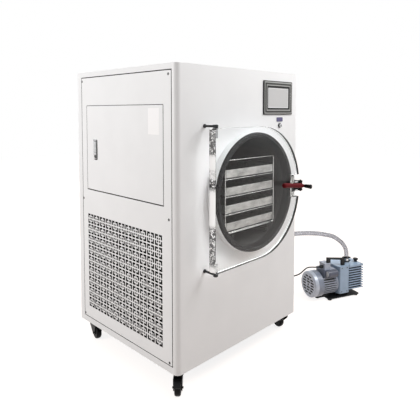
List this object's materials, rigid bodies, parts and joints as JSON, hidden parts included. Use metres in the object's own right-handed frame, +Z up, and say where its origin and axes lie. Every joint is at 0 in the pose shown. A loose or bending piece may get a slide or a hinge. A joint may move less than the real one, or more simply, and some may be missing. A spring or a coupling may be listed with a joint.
{
  "type": "freeze dryer",
  "caption": "Floor-standing laboratory freeze dryer: cabinet on castors, round chamber with shelves and trays behind a clear hinged door, touch panel, and a vacuum pump on a hose beside it.",
  "frame": {"origin": "middle of the footprint of the cabinet and the pump, on the floor", "axes": "+X along the front towards the pump, +Y from the front to the back, +Z up"},
  "size_m": [1.5228, 0.8616, 1.2903],
  "materials": {
    "casing_paint": "satin",
    "chassis_steel": "satin",
    "chrome_trim": "polished",
    "black_plastic": "satin",
    "chamber_steel": "satin",
    "black_rubber": "satin",
    "stainless": "brushed",
    "machine_black": "satin",
    "fin_aluminium": "satin",
    "bezel_plastic": "satin",
    "screen_glass": "gloss",
    "port_plastic": "gloss",
    "clear_acrylic": "clear",
    "dark_steel": "satin",
    "red_plastic": "gloss",
    "clear_hose": "clear",
    "pump_paint_grey": "satin",
    "pump_paint_blue": "satin",
    "wheel_rubber": "satin"
  },
  "bodies": {
    "cabinet": {"base_frame": "chassis_steel", "casing_shell": "casing_paint", "left_side_panel": "casing_paint", "right_side_panel": "casing_paint", "rear_panel": "casing_paint", "chamber": "chamber_steel", "chamber_gasket": "black_rubber", "shelf_rack": "stainless", "cold_trap": "stainless", "compressor": "machine_black", "condenser": "fin_aluminium", "fan_shroud": "chassis_steel", "control_plate": "fin_aluminium", "hmi_bezel": "bezel_plastic", "hmi_screen": "screen_glass", "port_cover": "port_plastic", "switch_collar": "chrome_trim", "hinge_bracket_top": "dark_steel", "hinge_bracket_bottom": "dark_steel", "latch_keeper": "dark_steel", "hose_port": "chrome_trim", "panel_gland": "black_plastic", "tray_1": "stainless", "tray_2": "stainless", "tray_3": "stainless", "tray_4": "stainless", "pump_fan_cover": "pump_paint_grey", "pump_motor": "pump_paint_grey", "pump_terminal_box": "pump_paint_grey", "lead_gland": "black_plastic", "pump_block": "pump_paint_blue", "pump_oil_box": "pump_paint_blue", "pump_handle": "black_plastic", "pump_base": "machine_black", "pump_inlet": "chrome_trim", "pump_exhaust_cap": "black_plastic", "vacuum_hose": "clear_hose", "pump_lead": "black_rubber"},
    "main_door": {"door_plate": "clear_acrylic", "latch_base": "black_plastic"},
    "door_latch": {"latch_lever": "dark_steel", "latch_grip": "red_plastic"},
    "latch_screw_knob": {"latch_knob": "black_plastic"},
    "service_door": {"access_door": "casing_paint", "lock_plate": "chrome_trim"},
    "lock_handle": {"lock_lever": "chrome_trim"},
    "lock_push_button": {"lock_button": "black_plastic"},
    "key_switch": {"switch_knob": "black_plastic"},
    "fan_rotor": {"condenser_fan": "black_plastic"},
    "castor_front_left": {"castor_fork_front_left": "dark_steel"},
    "wheel_front_left": {"castor_wheel_front_left": "wheel_rubber"},
    "brake_front_left": {"brake_pedal_front_left": "black_plastic"},
    "castor_front_right": {"castor_fork_front_right": "dark_steel"},
    "wheel_front_right": {"castor_wheel_front_right": "wheel_rubber"},
    "brake_front_right": {"brake_pedal_front_right": "black_plastic"},
    "castor_rear_left": {"castor_fork_rear_left": "dark_steel"},
    "wheel_rear_left": {"castor_wheel_rear_left": "wheel_rubber"},
    "castor_rear_right": {"castor_fork_rear_right": "dark_steel"},
    "wheel_rear_right": {"castor_wheel_rear_right": "wheel_rubber"}
  },
  "joints": [
    {"name": "main_door_hinge", "type": "hinge", "parent": "cabinet", "child": "main_door", "pos_m": [-0.59659, -0.3462, 0.7593], "axis": [0, 0, -1], "range_deg": [0, 110]},
    {"name": "door_latch_pivot", "type": "hinge", "parent": "main_door", "child": "door_latch", "pos_m": [-0.04259, -0.3705, 0.7593], "axis": [0, 0, 1], "range_deg": [0, 110]},
    {"name": "latch_knob_turn", "type": "hinge", "parent": "door_latch", "child": "latch_screw_knob", "pos_m": [-0.04259, -0.3905, 0.7593], "axis": [0, 1, 0], "continuous": true},
    {"name": "service_door_hinge", "type": "hinge", "parent": "cabinet", "child": "service_door", "pos_m": [-0.74239, -0.2052, 0.9388], "axis": [0, 0, 1], "range_deg": [0, 110]},
    {"name": "lock_handle_lift", "type": "hinge", "parent": "service_door", "child": "lock_handle", "pos_m": [-0.74259, 0.2818, 0.9668], "axis": [0, 1, 0], "range_deg": [0, 40]},
    {"name": "lock_button_press", "type": "slide", "parent": "service_door", "child": "lock_push_button", "axis": [1, 0, 0], "range_m": [0, 0.003], "stiffness_N_per_m": 300},
    {"name": "key_switch_turn", "type": "hinge", "parent": "cabinet", "child": "key_switch", "pos_m": [-0.09459, -0.2942, 1.0423], "axis": [0, 1, 0], "range_deg": [0, 90]},
    {"name": "condenser_fan_spin", "type": "hinge", "parent": "cabinet", "child": "fan_rotor", "pos_m": [-0.64459, 0.0858, 0.3236], "axis": [1, 0, 0], "continuous": true},
    {"name": "castor_swivel_front_left", "type": "hinge", "parent": "cabinet", "child": "castor_front_left", "pos_m": [-0.69759, -0.2392, 0.078], "axis": [0, 0, 1], "continuous": true},
    {"name": "wheel_roll_front_left", "type": "hinge", "parent": "castor_front_left", "child": "wheel_front_left", "pos_m": [-0.72061, -0.26143, 0.031], "axis": [0.6947, -0.7193, 0], "continuous": true},
    {"name": "brake_press_front_left", "type": "hinge", "parent": "castor_front_left", "child": "brake_front_left", "pos_m": [-0.72637, -0.26699, 0.066], "axis": [0.6947, -0.7193, 0], "range_deg": [0, 10]},
    {"name": "castor_swivel_front_right", "type": "hinge", "parent": "cabinet", "child": "castor_front_right", "pos_m": [0.01241, -0.2392, 0.078], "axis": [0, 0, 1], "continuous": true},
    {"name": "wheel_roll_front_right", "type": "hinge", "parent": "castor_front_right", "child": "wheel_front_right", "pos_m": [0.01796, -0.20769, 0.031], "axis": [-0.9848, 0.1736, 0], "continuous": true},
    {"name": "brake_press_front_right", "type": "hinge", "parent": "castor_front_right", "child": "brake_front_right", "pos_m": [0.01935, -0.19981, 0.066], "axis": [-0.9848, 0.1736, 0], "range_deg": [0, 10]},
    {"name": "castor_swivel_rear_left", "type": "hinge", "parent": "cabinet", "child": "castor_rear_left", "pos_m": [-0.69759, 0.3858, 0.078], "axis": [0, 0, 1], "continuous": true},
    {"name": "wheel_roll_rear_left", "type": "hinge", "parent": "castor_rear_left", "child": "wheel_rear_left", "pos_m": [-0.70315, 0.35429, 0.031], "axis": [0.9848, -0.1736, 0], "continuous": true},
    {"name": "castor_swivel_rear_right", "type": "hinge", "parent": "cabinet", "child": "castor_rear_right", "pos_m": [0.01241, 0.3858, 0.078], "axis": [0, 0, 1], "continuous": true},
    {"name": "wheel_roll_rear_right", "type": "hinge", "parent": "castor_rear_right", "child": "wheel_rear_right", "pos_m": [0.02335, 0.35573, 0.031], "axis": [0.9397, 0.342, 0], "continuous": true}
  ]
}
